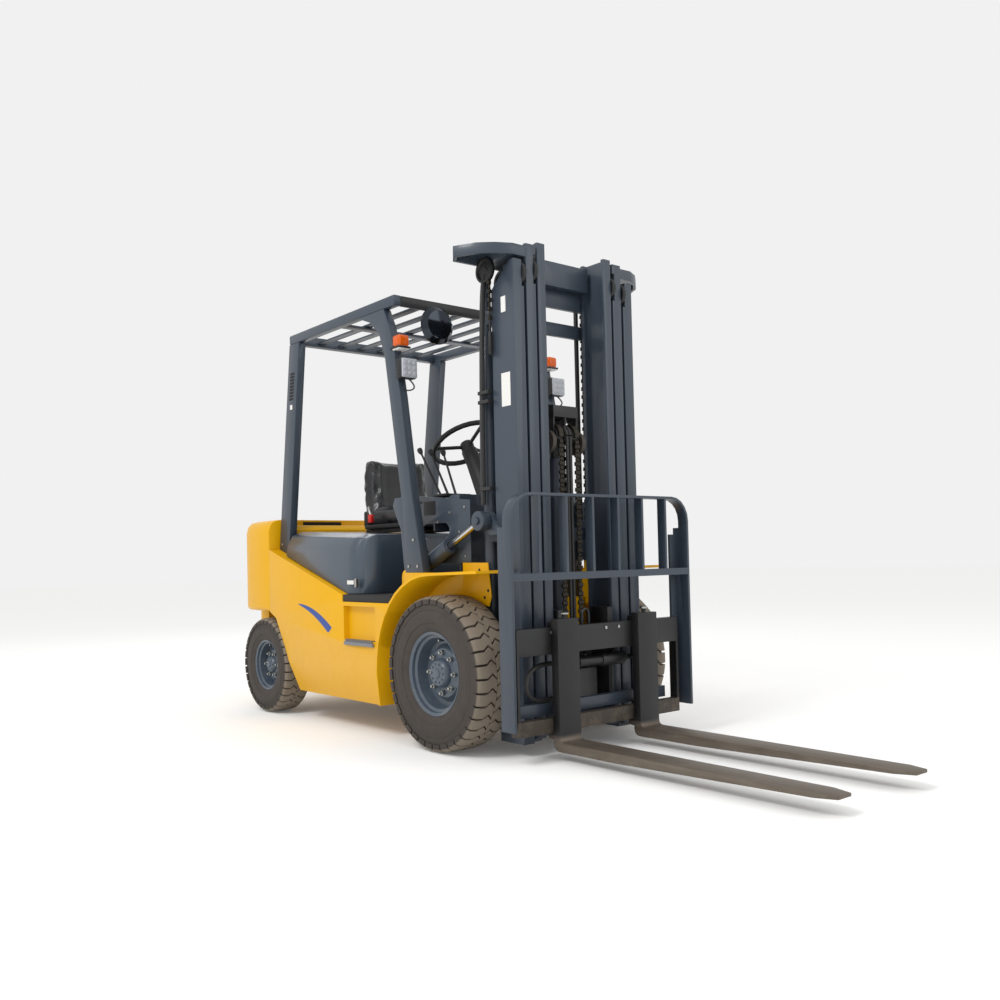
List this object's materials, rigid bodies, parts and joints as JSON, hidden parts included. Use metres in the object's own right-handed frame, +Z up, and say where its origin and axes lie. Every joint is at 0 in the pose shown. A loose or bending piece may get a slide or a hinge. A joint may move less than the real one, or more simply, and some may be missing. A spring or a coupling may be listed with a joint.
{
  "type": "forklift truck",
  "caption": "Counterbalance truck with a tilting telescopic mast, side-shifting carriage, adjustable forks, load backrest, overhead guard and rear-wheel steering.",
  "frame": {"origin": "on the ground at the centre of the truck's outline, forks included", "axes": "+Z up, -Y towards the fork tips, +X to the truck's left side"},
  "size_m": [1.15, 3.842, 2.175],
  "materials": {
    "yellow_paint": "gloss",
    "grey_paint": "satin",
    "black_paint": "satin",
    "rim_paint": "satin",
    "tyre_rubber": "matt",
    "black_rubber": "matt",
    "black_plastic": "matt",
    "fork_steel": "worn",
    "chrome": "polished",
    "cast_metal": "rough",
    "chain_steel": "oiled",
    "seat_vinyl": "satin"
  },
  "bodies": {
    "chassis": {"chassis_frame": "yellow_paint", "floor_plate": "black_rubber", "engine_block": "cast_metal", "counterweight": "yellow_paint", "radiator_cover": "yellow_paint", "cowl": "grey_paint", "steering_column": "black_plastic", "control_levers": "black_plastic", "guard_roof": "grey_paint", "guard_front_leg_left": "grey_paint", "guard_front_leg_right": "grey_paint", "guard_rear_leg_left": "grey_paint", "guard_rear_leg_right": "grey_paint", "front_lights_left": "black_plastic", "front_lights_right": "black_plastic", "drive_axle": "cast_metal", "steer_axle": "cast_metal"},
    "engine_hood": {"hood": "grey_paint", "driver_seat": "seat_vinyl"},
    "hand_wheel": {"steering_wheel": "black_plastic"},
    "front_wheel_left": {"front_rim_left": "rim_paint", "front_tyre_left": "tyre_rubber"},
    "front_wheel_right": {"front_rim_right": "rim_paint", "front_tyre_right": "tyre_rubber"},
    "knuckle_left": {"steer_knuckle_left": "cast_metal"},
    "knuckle_right": {"steer_knuckle_right": "cast_metal"},
    "rear_wheel_left": {"rear_rim_left": "rim_paint", "rear_tyre_left": "tyre_rubber"},
    "rear_wheel_right": {"rear_rim_right": "rim_paint", "rear_tyre_right": "tyre_rubber"},
    "mast": {"mast_outer": "grey_paint", "lift_barrel_left": "grey_paint", "lift_barrel_right": "grey_paint"},
    "mast_stage_two": {"mast_middle": "grey_paint"},
    "mast_stage_three": {"mast_inner": "grey_paint", "free_lift_barrel": "grey_paint"},
    "lift_head": {"crosshead": "black_paint"},
    "lift_carriage": {"carriage": "grey_paint", "lift_chains": "chain_steel"},
    "shifter": {"side_shifter": "black_paint", "load_backrest": "grey_paint"},
    "left_fork": {"fork_left": "fork_steel"},
    "right_fork": {"fork_right": "fork_steel"},
    "left_tilt_barrel": {"tilt_barrel_left": "grey_paint"},
    "left_tilt_rod": {"tilt_rod_left": "chrome"},
    "right_tilt_barrel": {"tilt_barrel_right": "grey_paint"},
    "right_tilt_rod": {"tilt_rod_right": "chrome"}
  },
  "joints": [
    {"name": "mast_tilt", "type": "hinge", "parent": "chassis", "child": "mast", "pos_m": [0, -0.31, 0.29], "axis": [1, 0, 0], "range_deg": [-6, 6]},
    {"name": "mast_lift", "type": "slide", "parent": "mast", "child": "mast_stage_two", "axis": [0, 0, 1], "range_m": [0, 1.5]},
    {"name": "mast_lift_inner", "type": "slide", "parent": "mast_stage_two", "child": "mast_stage_three", "axis": [0, 0, 1], "range_m": [0, 1.5]},
    {"name": "carriage_lift", "type": "slide", "parent": "mast_stage_three", "child": "lift_carriage", "axis": [0, 0, 1], "range_m": [0, 1.05], "deforming": ["lift_chains"]},
    {"name": "lift_head_rise", "type": "slide", "parent": "mast_stage_three", "child": "lift_head", "axis": [0, 0, 1], "range_m": [0, 0.525]},
    {"name": "side_shift", "type": "slide", "parent": "lift_carriage", "child": "shifter", "axis": [1, 0, 0], "range_m": [-0.1, 0.1]},
    {"name": "left_fork_slide", "type": "slide", "parent": "shifter", "child": "left_fork", "axis": [1, 0, 0], "range_m": [-0.15, 0.17]},
    {"name": "right_fork_slide", "type": "slide", "parent": "shifter", "child": "right_fork", "axis": [1, 0, 0], "range_m": [-0.17, 0.15]},
    {"name": "left_tilt_swing", "type": "hinge", "parent": "chassis", "child": "left_tilt_barrel", "pos_m": [0.41, 0.171, 0.74994], "axis": [1, 0, 0], "range_deg": [-3.42, 3.42]},
    {"name": "left_tilt_stroke", "type": "slide", "parent": "left_tilt_barrel", "child": "left_tilt_rod", "axis": [0, -0.9107, 0.4131], "range_m": [-0.0647, 0.0647]},
    {"name": "right_tilt_swing", "type": "hinge", "parent": "chassis", "child": "right_tilt_barrel", "pos_m": [-0.41, 0.171, 0.74994], "axis": [1, 0, 0], "range_deg": [-3.42, 3.42]},
    {"name": "right_tilt_stroke", "type": "slide", "parent": "right_tilt_barrel", "child": "right_tilt_rod", "axis": [0, -0.9107, 0.4131], "range_m": [-0.0647, 0.0647]},
    {"name": "hood_hinge", "type": "hinge", "parent": "chassis", "child": "engine_hood", "pos_m": [0, 1.201, 0.982], "axis": [-1, 0, 0], "range_deg": [0, 60]},
    {"name": "steer_left", "type": "hinge", "parent": "chassis", "child": "knuckle_left", "pos_m": [0.365, 1.411, 0.262], "axis": [0, 0, 1], "range_deg": [-60, 60]},
    {"name": "steer_right", "type": "hinge", "parent": "chassis", "child": "knuckle_right", "pos_m": [-0.365, 1.411, 0.262], "axis": [0, 0, 1], "range_deg": [-60, 60]},
    {"name": "hand_wheel_turn", "type": "hinge", "parent": "chassis", "child": "hand_wheel", "pos_m": [0, 0.261, 1.41], "axis": [0, 0.5195, 0.8545], "range_deg": [-720, 720]},
    {"name": "front_left_spin", "type": "hinge", "parent": "chassis", "child": "front_wheel_left", "pos_m": [0.478, -0.189, 0.337], "axis": [1, 0, 0], "continuous": true},
    {"name": "front_right_spin", "type": "hinge", "parent": "chassis", "child": "front_wheel_right", "pos_m": [-0.478, -0.189, 0.337], "axis": [1, 0, 0], "continuous": true},
    {"name": "rear_left_spin", "type": "hinge", "parent": "knuckle_left", "child": "rear_wheel_left", "pos_m": [0.487, 1.411, 0.262], "axis": [1, 0, 0], "continuous": true},
    {"name": "rear_right_spin", "type": "hinge", "parent": "knuckle_right", "child": "rear_wheel_right", "pos_m": [-0.487, 1.411, 0.262], "axis": [1, 0, 0], "continuous": true}
  ],
  "couplings": [
    {"joint": "mast_lift_inner", "follows": "mast_lift", "ratio": 1},
    {"joint": "lift_head_rise", "follows": "carriage_lift", "ratio": 0.5},
    {"joint": "left_tilt_swing", "follows": "mast_tilt", "ratio": 0.57},
    {"joint": "left_tilt_stroke", "follows": "mast_tilt", "m_per_rad": 0.6175},
    {"joint": "right_tilt_swing", "follows": "mast_tilt", "ratio": 0.57},
    {"joint": "right_tilt_stroke", "follows": "mast_tilt", "m_per_rad": 0.6175},
    {"joint": "steer_right", "follows": "steer_left", "ratio": 1},
    {"joint": "hand_wheel_turn", "follows": "steer_left", "ratio": -12}
  ]
}
